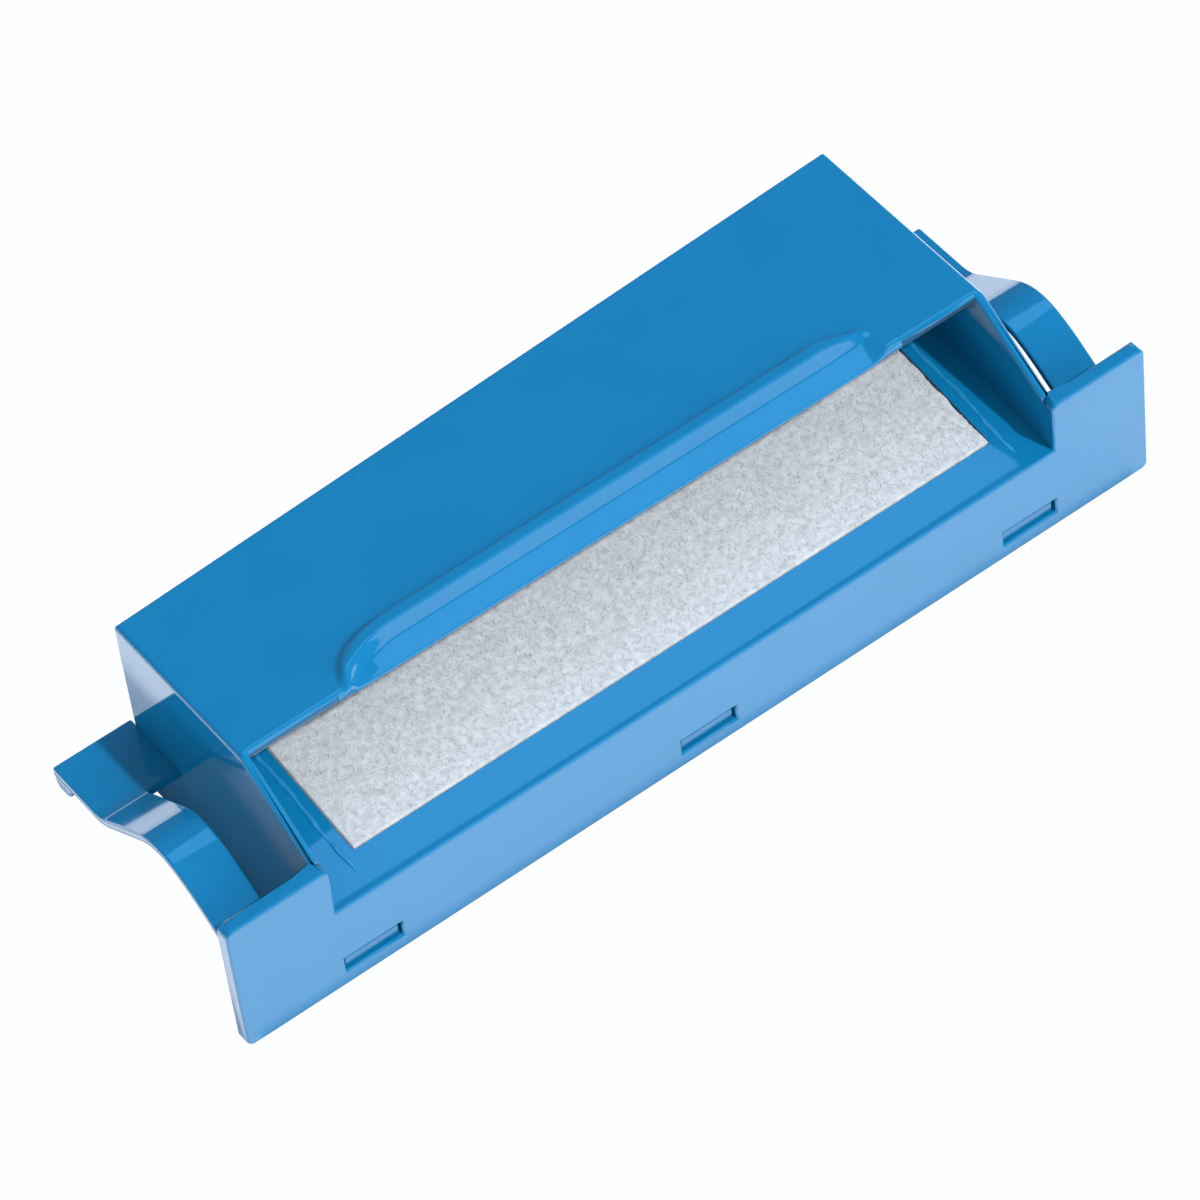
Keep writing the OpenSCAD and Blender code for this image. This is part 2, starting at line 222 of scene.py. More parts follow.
def grain_group():
    """Moulded plastic: faint flow clouding, fine grain, hairline scratches and specks of dust."""
    group = bpy.data.node_groups.new("moulded_plastic", "ShaderNodeTree")
    face = group.interface
    face.new_socket("Colour", in_out="INPUT", socket_type="NodeSocketColor")
    for name, value in (("Roughness", 0.2), ("Clouding", 0.1), ("Grain", 0.2),
                        ("Scratches", 0.2), ("Dust", 0.1)):
        face.new_socket(name, in_out="INPUT", socket_type="NodeSocketFloat").default_value = value
    face.new_socket("Colour", in_out="OUTPUT", socket_type="NodeSocketColor")
    face.new_socket("Roughness", in_out="OUTPUT", socket_type="NodeSocketFloat")
    face.new_socket("Normal", in_out="OUTPUT", socket_type="NodeSocketVector")
    nodes, links = group.nodes, group.links
    given = nodes.new("NodeGroupInput")
    made = nodes.new("NodeGroupOutput")
    place = nodes.new("ShaderNodeTexCoord").outputs["Object"]

    def noise(scale, detail, vector=place):
        node = nodes.new("ShaderNodeTexNoise")
        node.inputs["Scale"].default_value = scale
        node.inputs["Detail"].default_value = detail
        links.new(vector, node.inputs["Vector"])
        return node.outputs["Fac"]

    def math_node(operation, a, b):
        node = nodes.new("ShaderNodeMath")
        node.operation = operation
        for socket, value in zip(node.inputs, (a, b)):
            if isinstance(value, (int, float)):
                socket.default_value = value
            else:
                links.new(value, socket)
        return node.outputs[0]

    def ramp(value, low, high):
        node = nodes.new("ShaderNodeMapRange")
        node.inputs["From Min"].default_value = low
        node.inputs["From Max"].default_value = high
        links.new(value, node.inputs["Value"])
        return node.outputs["Result"]

    clouds = ramp(noise(90, 3), 0.3, 0.7)
    fine = noise(5200, 2)
    stretch = nodes.new("ShaderNodeMapping")
    stretch.inputs["Rotation"].default_value = (0.0, 0.0, 0.5)
    stretch.inputs["Scale"].default_value = (60, 1500, 900)
    links.new(place, stretch.inputs["Vector"])
    scratches = ramp(noise(1.0, 2, stretch.outputs["Vector"]), 0.66, 0.72)
    dust = ramp(noise(2600, 1), 0.74, 0.8)

    tone = nodes.new("ShaderNodeHueSaturation")
    links.new(given.outputs["Colour"], tone.inputs["Color"])
    shade = math_node("MULTIPLY", math_node("SUBTRACT", clouds, 0.5), given.outputs["Clouding"])
    links.new(math_node("ADD", shade, 1.0), tone.inputs["Value"])
    dusty = nodes.new("ShaderNodeMix")
    dusty.data_type = "RGBA"
    links.new(math_node("MULTIPLY", dust, given.outputs["Dust"]), dusty.inputs["Factor"])
    links.new(tone.outputs["Color"], dusty.inputs[6])
    dusty.inputs[7].default_value = (0.75, 0.8, 0.85, 1)
    links.new(dusty.outputs[2], made.inputs["Colour"])

    rough = math_node("ADD", given.outputs["Roughness"], math_node("MULTIPLY", clouds, 0.04))
    for marks, name, share in ((scratches, "Scratches", 0.3), (dust, "Dust", 0.8)):
        amount = math_node("MULTIPLY", given.outputs[name], share)
        rough = math_node("ADD", rough, math_node("MULTIPLY", marks, amount))
    links.new(rough, made.inputs["Roughness"])

    height = math_node("MULTIPLY", fine, given.outputs["Grain"])
    height = math_node("SUBTRACT", height, math_node("MULTIPLY", scratches, given.outputs["Scratches"]))
    bump = nodes.new("ShaderNodeBump")
    bump.inputs["Strength"].default_value = 0.35
    bump.inputs["Distance"].default_value = 0.01 * MM
    links.new(height, bump.inputs["Height"])
    links.new(bump.outputs["Normal"], made.inputs["Normal"])
    return group


GRAIN = grain_group()


def plastic(name, colour, roughness, coat, **amounts):
    """A moulded plastic with the shared grain; amounts are that group's Clouding, Grain and so on."""
    material = bpy.data.materials.new(name)
    material.use_nodes = True
    nodes, links = material.node_tree.nodes, material.node_tree.links
    skin = nodes["Principled BSDF"]
    skin.inputs["IOR"].default_value = 1.5
    skin.inputs["Coat Weight"].default_value = coat
    skin.inputs["Coat Roughness"].default_value = 0.05
    grain = nodes.new("ShaderNodeGroup")
    grain.node_tree = GRAIN
    grain.inputs["Colour"].default_value = (*colour, 1)
    grain.inputs["Roughness"].default_value = roughness
    for key, value in amounts.items():
        grain.inputs[key].default_value = value
    links.new(grain.outputs["Colour"], skin.inputs["Base Color"])
    links.new(grain.outputs["Roughness"], skin.inputs["Roughness"])
    links.new(grain.outputs["Normal"], skin.inputs["Normal"])
    return material


SHELL_BLUE = (0.0015, 0.085, 0.192)
shell_plastic = plastic("glossy_blue_moulding", SHELL_BLUE, roughness=0.055, coat=0.0,
                        Clouding=0.05, Grain=0.12, Scratches=0.1, Dust=0.04)


def wear(piece, material):
    piece.data.materials.clear()
    piece.data.materials.append(material)


wear(shell, shell_plastic)
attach(shell, "cassette")
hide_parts(*SHELL_NODES, "hood_roof")

# ---------------------------------------------------------------------------------------------
# The finger lip: the part of the roof where a fingertip pulls the cassette out. A low dish falls
# to the front edge, and a rounded lip stands up round it, in a wide curve at the left end.
# ---------------------------------------------------------------------------------------------
LIP_RIGHT = 49.5
LIP_RISE = LIP_TOP - ROOF_TOP
DISH_EDGE = ROOF_UNDER + 0.6 - ROOF_TOP          # height of the dish at the roof's front edge
DISH_FLOOR = -0.55                               # its height at the foot of the lip
CHEEK = 3.4                                      # width of the slope that ends the dish on the right
LIP_FRONT_EDGE = 0.28                            # radius of the front edge
LIP_BEND_END = -34.0                             # right of here the lip runs straight
LIP_TAIL = 40.5                                  # and from here it thins out and sinks
# four lines of the lip in plan: where each starts at the left, how far it stands back from the
# roof's front edge, the length of its bend and how square that bend is
LIP_LINES = {"outer foot": (-47.9, 8.3, 10.0, 2.5), "outer crest": (-47.5, 6.9, 12.0, 1.9),
             "inner crest": (-47.3, 5.4, 11.5, 1.8), "dish foot": (-46.9, 3.6, 10.0, 1.4)}


def ease(t):
    t = min(max(t, 0.0), 1.0)
    return t * t * (3 - 2 * t)


def even_slope(t, bend=0.2):
    """Like ease, but straight between two short bends."""
    t = min(max(t, 0.0), 1.0)
    if t > 0.5:
        return 1 - even_slope(1 - t, bend)
    return 0.5 * t * t / (bend * (1 - bend)) if t < bend else (t - bend / 2) / (1 - bend)


def lip_line(x, name):
    """Distance from the roof's front edge to one of the lip's lines."""
    start, back, bend, power = LIP_LINES[name]
    if x <= start:
        return 0.0
    left = max(0.0, 1 - (x - start) / bend)
    return back * (1 - left ** power) ** (1 / power)


def sharp_lip_height(x, y):
    """Height over the roof's flat top, before the lip's ends are softened."""
    back = y - MOUTH
    tail = ease((x - LIP_TAIL) / 8)
    outer = lip_line(x, "outer foot") - 2.2 * tail
    crest = lip_line(x, "outer crest") - 1.3 * tail
    inner, foot = lip_line(x, "inner crest"), lip_line(x, "dish foot")
    top = LIP_RISE * (1 - 0.7 * tail) * (0.25 + 0.75 * ease(back / 3.0))
    if back >= outer:
        return 0.0
    if back >= crest:
        height = top * ease((outer - back) / max(outer - crest, 0.01))
    elif back >= inner:
        height = top
    elif back >= foot:
        climb = even_slope((back - foot) / max(inner - foot, 0.01))
        height = DISH_FLOOR + (top - DISH_FLOOR) * climb
    else:
        height = DISH_EDGE + (DISH_FLOOR - DISH_EDGE) * back / foot
    return height * ease((LIP_RIGHT - x) / CHEEK)


def lip_height(x, y):
    """The same height, softened along the lip."""
    return sum(sharp_lip_height(x + shift, y) for shift in (-0.5, -0.25, 0.0, 0.25, 0.5)) / 5


def steps(start, end, pitch):
    count = max(1, round((end - start) / pitch))
    return [start + (end - start) * i / count for i in range(count)]


def finger_lip():
    left, right, rear = LIP_SPACE
    lip_rear = MOUTH + 8.7
    tail_start = LIP_RIGHT - 9.5
    xs = steps(left, LIP_BEND_END, 0.2) + steps(LIP_BEND_END, tail_start, 1.5)
    xs += steps(tail_start, right, 0.22) + [right]
    depths = steps(MOUTH + ROOF_EDGE + 0.1, lip_rear, 0.2) + steps(lip_rear, rear, 0.6) + [rear]
    r = LIP_FRONT_EDGE
    quarter = [math.radians(a) for a in (0, 22.5, 45, 67.5, 90)]
    points, row = [], 0
    for x in xs:
        front_top = ROOF_TOP + lip_height(x, MOUTH + r)
        plain = min(1.0, max(0.0, front_top - ROOF_TOP + 1.4) / 1.4)
        top_r = r + (ROOF_EDGE - r) * plain
        low_r = r + (ROOF_EDGE * 0.95 - r) * plain
        column = [(MOUTH + low_r * (1 - math.sin(a)), ROOF_UNDER + low_r * (1 - math.cos(a)))
                  for a in quarter]
        edge_top = ROOF_TOP + lip_height(x, MOUTH + top_r)
        column += [(MOUTH + top_r * (1 - math.cos(a)), edge_top - top_r * (1 - math.sin(a)))
                   for a in quarter]
        column += [(y, ROOF_TOP + lip_height(x, y)) for y in depths]
        column += [(rear, ROOF_UNDER)]
        row = len(column)
        points += [(x, y, z) for y, z in column]
    faces = []
    for i in range(len(xs) - 1):
        for j in range(row):
            k = (j + 1) % row
            faces.append((i * row + j, (i + 1) * row + j, (i + 1) * row + k, i * row + k))
    last = (len(xs) - 1) * row
    faces += [tuple(range(row)), tuple(range(last + row - 1, last - 1, -1))]
    return new_piece("finger_lip", points, faces)


def outward(piece):
    work = bmesh.new()
    work.from_mesh(piece.data)
    bmesh.ops.recalc_face_normals(work, faces=work.faces)
    work.to_mesh(piece.data)
    work.free()


lip = finger_lip()
outward(lip)
lip.data.shade_smooth()
lip.data.set_sharp_from_angle(angle=math.radians(50))
wear(lip, shell_plastic)
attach(lip, "cassette")

# ---------------------------------------------------------------------------------------------
# The guide flanges and spring arms: on each side one sheet of the same moulding, flat behind and
# drawn up into a hump in front, with a slot beside it.
# ---------------------------------------------------------------------------------------------
SHEET = 1.4
FLANGE_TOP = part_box("right_guide_flange")[1].z / MM
FLANGE_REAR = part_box("right_guide_flange")[1].y / MM - FRONT
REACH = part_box("right_guide_flange")[1].x / MM
ARM_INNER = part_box("right_spring_arm")[0].x / MM
HUMP_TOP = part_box("right_spring_arm")[1].z / MM
ARM_ROOT = 38.0
ARM_TIP = 3.2
SHEET_EDGE = 0.38
RISE, FALL, PULL = 0.67, 0.6, 5.2                # slopes of the two ramps, and the hump's fullness
HUMP_BACK = (26.4, HUMP_TOP - 2.5)
HUMP_FRONT = (11.8, HUMP_TOP - 4.0)
BEND = 2.2                                       # half length of the bend at the root


def bezier(p, t):
    """A point of a cubic curve in depth and height."""
    weights = ((1 - t) ** 3, 3 * (1 - t) ** 2 * t, 3 * (1 - t) * t * t, t ** 3)
    return tuple(sum(w * q[i] for w, q in zip(weights, p)) for i in (0, 1))


def sheet_line():
    """The sheet's middle line from the flange's rear edge to the arm's tip."""
    middle = FLANGE_TOP - SHEET / 2
    flat_end = (ARM_ROOT + BEND, middle)
    ramp_start = (ARM_ROOT - BEND, middle + BEND * RISE)
    pull = BEND * 0.35
    bend = [flat_end, (ARM_ROOT + pull, middle), (ARM_ROOT - pull, middle + pull * RISE), ramp_start]
    hump = [HUMP_BACK, (HUMP_BACK[0] - PULL, HUMP_BACK[1] + PULL * RISE),
            (HUMP_FRONT[0] + PULL, HUMP_FRONT[1] + PULL * FALL), HUMP_FRONT]
    line = [(y, middle) for y in steps(FLANGE_REAR, ARM_ROOT + BEND, 1.5)]
    line += [bezier(bend, i / 8) for i in range(8)]
    climb = (HUMP_BACK[1] - ramp_start[1]) / (HUMP_BACK[0] - ramp_start[0])
    line += [(y, ramp_start[1] + climb * (y - ramp_start[0]))
             for y in steps(ramp_start[0], HUMP_BACK[0], 1.2)]
    line += [bezier(hump, i / 28) for i in range(29)]
    tip = (ARM_TIP, HUMP_TOP - 9.5)
    line += [tuple(start + (end - start) * i / 7 for start, end in zip(HUMP_FRONT, tip))
             for i in range(1, 8)]
    return line


def guide_arm(side, name):
    line = sheet_line()
    columns = [HALF_HOOD - 0.3, HALF_HOOD + 1.8, ARM_INNER - 0.3, ARM_INNER, ARM_INNER + 4.0, REACH]
    points = [(side * x, y, z) for y, z in line for x in columns]
    width = len(columns)
    slot_end = ARM_ROOT - 1.0
    faces = []
    for i in range(len(line) - 1):
        for j in range(width - 1):
            beside_slot = columns[j + 1] <= ARM_INNER + 0.01
            if beside_slot and line[i + 1][0] < slot_end - 0.01:
                continue
            faces.append((i * width + j, i * width + j + 1, (i + 1) * width + j + 1, (i + 1) * width + j))
    arm = new_piece(name, points, faces)
    outward(arm)
    thick = arm.modifiers.new("thickness", "SOLIDIFY")
    thick.thickness = SHEET * MM
    thick.offset = 0.0
    thick.use_even_offset = True
    finished(arm)
    work = bmesh.new()
    work.from_mesh(arm.data)
    bmesh.ops.delete(work, geom=[v for v in work.verts if not v.link_faces], context="VERTS")
    bmesh.ops.recalc_face_normals(work, faces=work.faces)
    work.to_mesh(arm.data)
    work.free()
    return arm


def hook(side, name):
    """The small down-turned hook under the flange's rear outer corner."""
    foot = FLANGE_TOP - SHEET + 0.2
    outline = [(FLANGE_REAR - 0.05, foot), (FLANGE_REAR - 5, foot), (FLANGE_REAR - 3.6, foot - 2.6),
               (FLANGE_REAR - 1, foot - 2.8), (FLANGE_REAR - 0.05, foot - 1.6)]
    count = len(outline)
    inner, outer = REACH - SHEET, REACH - 0.05
    points = [(side * x, y, z) for x in (inner, outer) for y, z in outline]
    faces = [tuple(range(count)), tuple(range(2 * count - 1, count - 1, -1))]
    faces += [(i, i + count, (i + 1) % count + count, (i + 1) % count) for i in range(count)]
    piece = new_piece(name, points, faces)
    outward(piece)
    return piece


for side, word in ((-1, "left"), (1, "right")):
    arm = unite(guide_arm(side, word + "_guide_arm"), [hook(side, word + "_hook")])
    round_edges(arm, SHEET_EDGE, least_angle=40.0)
    wear(arm, shell_plastic)
    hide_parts(word + "_guide_flange", word + "_spring_arm")
    middle = side * 76 * MM
    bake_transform(arm)

# ---------------------------------------------------------------------------------------------
# The filter pad: loose white synthetic wadding, laid in from below. It swells a little into the
# window, and its glossy fibres lie in every direction with fluffed ends at the surface.
# ---------------------------------------------------------------------------------------------
PAD_X = 63.8
PAD_FRONT = 6.0
PAD_THICK = 5.0
PAD_SWELL = 0.12                                 # how far the pad swells towards its middle
PAD_REST = 0.02                                  # how far its edge stays below the panel's top


def pad_rear(x):
    return rear_at(x) - WALL - 1.2


def lumps(x, y, seed):
    """A smooth, fixed unevenness between about -1 and 1."""
    total = 0.0
    for k, (wave, weight) in enumerate(((7.0, 0.4), (3.1, 0.35), (1.5, 0.4))):
        turn = seed + 1.7 * k
        u = x * math.cos(turn) + y * math.sin(turn)
        v = -x * math.sin(turn) + y * math.cos(turn)
        ridges = math.sin(u / wave * 2.1 + 3 * math.sin(v / wave))
        total += weight * ridges * math.cos(v / wave * 1.7 + 2 * math.sin(u / wave * 0.8))
    return total


def pad_top(x, y):
    ragged = 0.2 * lumps(x * 1.6, y * 1.6, 2.1)
    inset = min(x - WINDOW_LEFT, WINDOW_RIGHT - x + ragged, y - WINDOW_FRONT, WINDOW_REAR - y)
    under = deck_height(y) - WALL - 0.03
    window = deck_height(y) - PAD_REST + PAD_SWELL * ease(inset / 5) + 0.05 * lumps(x, y, 0.6)
    return under + (window - under) * ease(inset / 0.32)


def fine_at(start, edges, end, pitch):
    """Places from start to end at an even pitch, with extra ones just inside each of two edges."""
    low, high = edges
    return (steps(start, low, pitch) + [low, low + 0.12, low + 0.28, low + 0.44]
            + steps(low + 0.7, high - 0.7, pitch)
            + [high - 0.7, high - 0.44, high - 0.28, high - 0.12] + steps(high, end, pitch) + [end])


def wadding():
    xs = fine_at(-PAD_X, (WINDOW_LEFT, WINDOW_RIGHT), PAD_X, 0.6)
    shares = [(y - PAD_FRONT) / (WINDOW_REAR - PAD_FRONT)
              for y in fine_at(PAD_FRONT, (WINDOW_FRONT, WINDOW_REAR - 0.6), WINDOW_REAR, 0.55)]
    columns = []
    for x in xs:
        ys = [PAD_FRONT + share * (WINDOW_REAR - PAD_FRONT) for share in shares]
        ys += steps(WINDOW_REAR, pad_rear(x), (pad_rear(x) - WINDOW_REAR) / 6)[1:] + [pad_rear(x)]
        columns.append([(x, y, pad_top(x, y)) for y in ys]
                       + [(x, y, deck_height(y) - WALL - PAD_THICK + 0.02) for y in reversed(ys)])
    points = [point for column in columns for point in column]
    row = len(columns[0])
    faces = [(i * row + j, (i + 1) * row + j, (i + 1) * row + (j + 1) % row, i * row + (j + 1) % row)
             for i in range(len(xs) - 1) for j in range(row)]
    half = row // 2
    for start in (0, (len(xs) - 1) * row):
        faces += [(start + j, start + j + 1, start + row - 2 - j, start + row - 1 - j)
                  for j in range(half - 1)]
    piece = new_piece("filter_wadding", points, faces)
    outward(piece)
    piece.data.shade_smooth()
    piece.data.set_sharp_from_angle(angle=math.radians(60))
    return piece


def wadding_material(name, bright, mottle, roughness, sheen):
    material = bpy.data.materials.new(name)
    material.use_nodes = True
    nodes, links = material.node_tree.nodes, material.node_tree.links
    skin = nodes["Principled BSDF"]
    skin.inputs["Sheen Weight"].default_value = sheen
    skin.inputs["Sheen Roughness"].default_value = 0.4
    skin.inputs["IOR"].default_value = 1.45
    place = nodes.new("ShaderNodeTexCoord").outputs["Object"]
    clumps = nodes.new("ShaderNodeTexNoise")
    clumps.inputs["Scale"].default_value = 900
    clumps.inputs["Detail"].default_value = 5
    clumps.inputs["Roughness"].default_value = 0.62
    links.new(place, clumps.inputs["Vector"])
    tones = nodes.new("ShaderNodeValToRGB")
    dark = tuple(c * (1 - mottle) for c in bright)
    tones.color_ramp.elements[0].position = 0.32
    tones.color_ramp.elements[0].color = (*dark, 1)
    tones.color_ramp.elements[1].position = 0.68
    tones.color_ramp.elements[1].color = (*bright, 1)
    links.new(clumps.outputs["Fac"], tones.inputs["Fac"])
    links.new(tones.outputs["Color"], skin.inputs["Base Color"])
    rough = nodes.new("ShaderNodeMapRange")
    rough.inputs["To Min"].default_value = roughness
    rough.inputs["To Max"].default_value = min(1.0, roughness + 0.25)
    links.new(clumps.outputs["Fac"], rough.inputs["Value"])
    links.new(rough.outputs["Result"], skin.inputs["Roughness"])
    strands = nodes.new("ShaderNodeTexNoise")
    strands.inputs["Scale"].default_value = 1900
    strands.inputs["Detail"].default_value = 4
    strands.inputs["Distortion"].default_value = 1.5
    links.new(place, strands.inputs["Vector"])
    bump = nodes.new("ShaderNodeBump")
    bump.inputs["Strength"].default_value = 0.2
    bump.inputs["Distance"].default_value = 0.2 * MM
    links.new(strands.outputs["Fac"], bump.inputs["Height"])
    links.new(bump.outputs["Normal"], skin.inputs["Normal"])
    return material


pad = wadding()
pad_material = wadding_material("white_wadding", (0.305, 0.325, 0.344), 0.3, 0.7, 0.3)
wear(pad, pad_material)
fibre_material = wadding_material("glossy_fibre", (0.41, 0.43, 0.445), 0.3, 0.2, 0.0)


def fibre_tree(material):
    """Scatters short curved fibres over a patch of the pad's surface."""
    tree = bpy.data.node_groups.new("fibres_on_pad", "GeometryNodeTree")
    face = tree.interface
    face.new_socket("Geometry", in_out="INPUT", socket_type="NodeSocketGeometry")
    for name, kind in (("Fibres per area", "NodeSocketFloat"), ("Length", "NodeSocketFloat"),
                       ("Radius", "NodeSocketFloat"), ("Tilt", "NodeSocketFloat"), ("Seed", "NodeSocketInt")):
        face.new_socket(name, in_out="INPUT", socket_type=kind)
    face.new_socket("Geometry", in_out="OUTPUT", socket_type="NodeSocketGeometry")
    nodes, links = tree.nodes, tree.links
    given, made = nodes.new("NodeGroupInput"), nodes.new("NodeGroupOutput")
    spread = nodes.new("GeometryNodeDistributePointsOnFaces")
    links.new(given.outputs["Geometry"], spread.inputs["Mesh"])
    links.new(given.outputs["Fibres per area"], spread.inputs["Density"])
    links.new(given.outputs["Seed"], spread.inputs["Seed"])
    section = nodes.new("GeometryNodeCurvePrimitiveCircle")
    section.inputs["Resolution"].default_value = 3
    links.new(given.outputs["Radius"], section.inputs["Radius"])
    kinds = nodes.new("GeometryNodeJoinGeometry")
    # start, pull and end of three fibre shapes, as shares of the fibre's length
    shapes = [((-0.5, 0, 0), (0, 0.35, 0.12), (0.5, -0.05, 0)),
              ((-0.5, 0.1, 0), (0.1, -0.3, 0.2), (0.42, 0.2, 0)),
              ((-0.35, 0, 0), (0.2, 0.7, 0.08), (0.3, -0.15, 0))]
    for start, pull, end in shapes:
        curve = nodes.new("GeometryNodeCurveQuadraticBezier")
        curve.inputs["Resolution"].default_value = 6
        for socket, place in zip(("Start", "Middle", "End"), (start, pull, end)):
            sized = nodes.new("ShaderNodeVectorMath")
            sized.operation = "SCALE"
            sized.inputs[0].default_value = place
            links.new(given.outputs["Length"], sized.inputs["Scale"])
            links.new(sized.outputs[0], curve.inputs[socket])
        tube = nodes.new("GeometryNodeCurveToMesh")
        links.new(curve.outputs["Curve"], tube.inputs["Curve"])
        links.new(section.outputs["Curve"], tube.inputs["Profile Curve"])
        single = nodes.new("GeometryNodeGeometryToInstance")
        links.new(tube.outputs["Mesh"], single.inputs["Geometry"])
        links.new(single.outputs["Instances"], kinds.inputs["Geometry"])
    lay = nodes.new("GeometryNodeInstanceOnPoints")
    lay.inputs["Pick Instance"].default_value = True
    links.new(spread.outputs["Points"], lay.inputs["Points"])
    links.new(kinds.outputs["Geometry"], lay.inputs["Instance"])

    def random_vector(low, high, offset):
        node = nodes.new("FunctionNodeRandomValue")
        node.data_type = "FLOAT_VECTOR"
        for socket, value in (("Min", low), ("Max", high)):
            if isinstance(value, tuple):
                node.inputs[socket].default_value = value
            else:
                links.new(value, node.inputs[socket])
        shift = nodes.new("FunctionNodeInputInt")
        shift.integer = offset
        links.new(shift.outputs[0], node.inputs["Seed"])
        return node.outputs["Value"]

    tilt = nodes.new("ShaderNodeCombineXYZ")
    links.new(given.outputs["Tilt"], tilt.inputs["X"])
    links.new(given.outputs["Tilt"], tilt.inputs["Y"])
    tilt.inputs["Z"].default_value = math.pi
    back = nodes.new("ShaderNodeVectorMath")
    back.operation = "SCALE"
    back.inputs["Scale"].default_value = -1.0
    links.new(tilt.outputs[0], back.inputs[0])
    turn = random_vector(back.outputs[0], tilt.outputs[0], 11)
    links.new(turn, lay.inputs["Rotation"])
    links.new(random_vector((0.5, 0.5, 0.5), (1.2, 1.2, 1.2), 23), lay.inputs["Scale"])
    real = nodes.new("GeometryNodeRealizeInstances")
    links.new(lay.outputs["Instances"], real.inputs["Geometry"])
    painted = nodes.new("GeometryNodeSetMaterial")
    painted.inputs["Material"].default_value = material
    links.new(real.outputs["Geometry"], painted.inputs["Geometry"])
    links.new(painted.outputs["Geometry"], made.inputs["Geometry"])
    return tree


def with_nodes(piece, tree, **values):
    """Runs a geometry tree with its named inputs set, and keeps the plain mesh that it makes."""
    run = piece.modifiers.new(tree.name, "NODES")
    run.node_group = tree
    sockets = {s.name: s.identifier for s in tree.interface.items_tree if s.in_out == "INPUT"}
    for name, value in values.items():
        run[sockets[name.replace("_", " ")]] = value
    return finished(piece)


def window_patch(name, sunk):
    """The pad's surface in the window, a little sunk, for the fibres to lie on."""
    margin = 0.7
    low, high = WINDOW_LEFT + margin, WINDOW_RIGHT - margin
    xs = [low + (high - low) * i / 70 for i in range(71)]
    ys = [WINDOW_FRONT + margin + (WINDOW_REAR - WINDOW_FRONT - 2 * margin) * j / 36 for j in range(37)]
    points = [(x, y, pad_top(x, y) - sunk) for x in xs for y in ys]
    row = len(ys)
    faces = [(i * row + j, (i + 1) * row + j, (i + 1) * row + j + 1, i * row + j + 1)
             for i in range(len(xs) - 1) for j in range(row - 1)]
    return new_piece(name, points, faces)


FIBRES = fibre_tree(fibre_material)
fine_fibres = with_nodes(window_patch("fine_fibres", 0.02), FIBRES, Fibres_per_area=1.5e6,
                         Length=1.3 * MM, Radius=0.02 * MM, Tilt=0.2, Seed=7)
stray_fibres = with_nodes(window_patch("stray_fibres", 0.0), FIBRES, Fibres_per_area=0.8e6,
                          Length=0.5 * MM, Radius=0.045 * MM, Tilt=0.4, Seed=19)
for piece in (pad, fine_fibres, stray_fibres):
    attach(piece, "cassette")
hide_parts("filter_pad")

# ---------------------------------------------------------------------------------------------
# The backing net: a plain woven scrim of grey thread under the pad, stretched over the grid to
# keep loose fibre back. Its threads pass over and under each other.
# ---------------------------------------------------------------------------------------------
NET_PITCH = 1.2
THREAD = 0.1                                     # radius of a thread
NET_LIFT = 0.06                                  # how far a thread rises over the one it crosses


def net_lines():
    """The threads' middle lines, as edges of one mesh."""
    columns = [x for x in steps(-PAD_X + 0.4, PAD_X - 0.4, NET_PITCH)]
    rows = [y for y in steps(PAD_FRONT + 0.4, pad_rear(-PAD_X) - 0.2, NET_PITCH)]
    points, edges = [], []
    net_middle = WALL + PAD_THICK + 0.15

    def add(line):
        start = len(points)
        points.extend(line)
        edges.extend((start + i, start + i + 1) for i in range(len(line) - 1))

    for j, y in enumerate(rows):
        add([(x, y, deck_height(y) - net_middle + NET_LIFT * (-1) ** (i + j)) for i, x in enumerate(columns)])
    for i, x in enumerate(columns):
        add([(x, y, deck_height(y) - net_middle - NET_LIFT * (-1) ** (i + j)) for j, y in enumerate(rows)])
    mesh = bpy.data.meshes.new("backing_net_weave")
    mesh.from_pydata([(x * MM, (y + FRONT) * MM, z * MM) for x, y, z in points], edges, [])
    piece = bpy.data.objects.new("backing_net_weave", mesh)
    bpy.context.scene.collection.objects.link(piece)
    size = (columns[-1] - columns[0], rows[-1] - rows[0])
    length = len(rows) * size[0] + len(columns) * size[1]
    return piece, size, length


def thread_tree(material):
    """Gives every line of a mesh a round thread with closed ends."""
    tree = bpy.data.node_groups.new("threads", "GeometryNodeTree")
    face = tree.interface
    face.new_socket("Geometry", in_out="INPUT", socket_type="NodeSocketGeometry")
    face.new_socket("Radius", in_out="INPUT", socket_type="NodeSocketFloat")
    face.new_socket("Geometry", in_out="OUTPUT", socket_type="NodeSocketGeometry")
    nodes, links = tree.nodes, tree.links
    given, made = nodes.new("NodeGroupInput"), nodes.new("NodeGroupOutput")
    lines = nodes.new("GeometryNodeMeshToCurve")
    links.new(given.outputs["Geometry"], lines.inputs["Mesh"])
    section = nodes.new("GeometryNodeCurvePrimitiveCircle")
    section.inputs["Resolution"].default_value = 5
    links.new(given.outputs["Radius"], section.inputs["Radius"])
    tube = nodes.new("GeometryNodeCurveToMesh")
    tube.inputs["Fill Caps"].default_value = True
    links.new(lines.outputs["Curve"], tube.inputs["Curve"])
    links.new(section.outputs["Curve"], tube.inputs["Profile Curve"])
    real = nodes.new("GeometryNodeRealizeInstances")
    links.new(tube.outputs["Mesh"], real.inputs["Geometry"])
    painted = nodes.new("GeometryNodeSetMaterial")
    painted.inputs["Material"].default_value = material
    links.new(real.outputs["Geometry"], painted.inputs["Geometry"])
    links.new(painted.outputs["Geometry"], made.inputs["Geometry"])
    return tree


